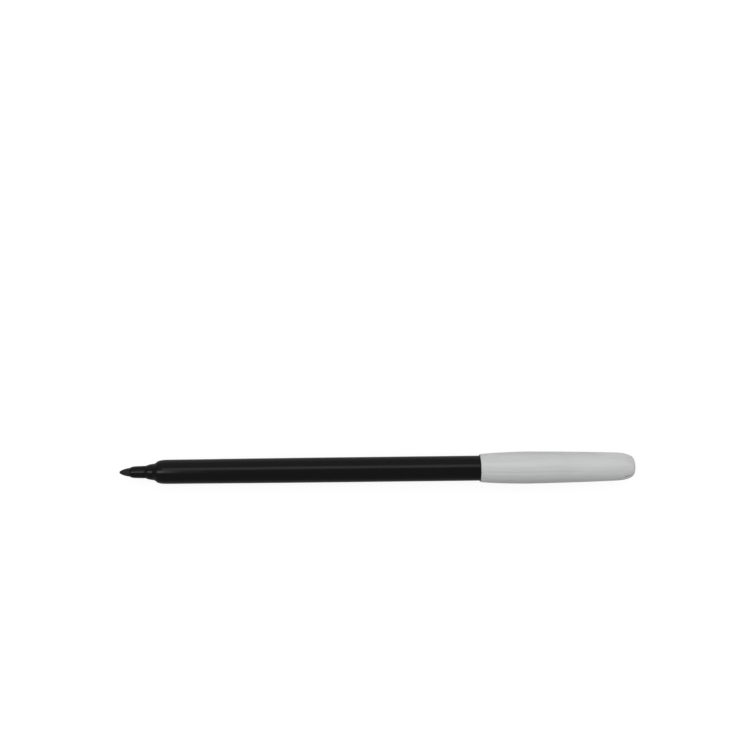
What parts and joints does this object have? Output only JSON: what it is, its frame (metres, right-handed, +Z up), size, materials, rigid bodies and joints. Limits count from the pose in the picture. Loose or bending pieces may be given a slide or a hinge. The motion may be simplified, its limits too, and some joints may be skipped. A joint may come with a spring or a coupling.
{
  "type": "felt tip marker",
  "caption": "Slim round felt tip pen with a bullet nib, an ink reservoir in its barrel, and a slide-off cap posted on its tail.",
  "frame": {"origin": "on the pen's axis, halfway between the writing tip and the crown of the posted cap", "axes": "+X along the pen's axis towards the cap, with the writing tip at -X; +Z up with the pen lying on its side"},
  "size_m": [0.165, 0.0102, 0.0102],
  "materials": {
    "inked_felt": "matte ink-soaked fibre",
    "black_plastic": "satin gloss moulded",
    "inked_wadding": "ink-soaked wadding",
    "clear_film": "thin film",
    "cap_plastic": "satin moulded",
    "inner_cap_plastic": "soft satin"
  },
  "bodies": {
    "pen": {"nib": "inked_felt", "nib_holder": "black_plastic", "barrel": "black_plastic", "reservoir_core": "inked_wadding", "reservoir_film": "clear_film", "end_plug": "black_plastic"},
    "cap": {"cap_shell": "cap_plastic", "inner_cap": "inner_cap_plastic"}
  },
  "joints": [
    {"name": "cap_slide", "type": "slide", "parent": "pen", "child": "cap", "axis": [1, 0, 0], "range_m": [0, 0.045]}
  ]
}
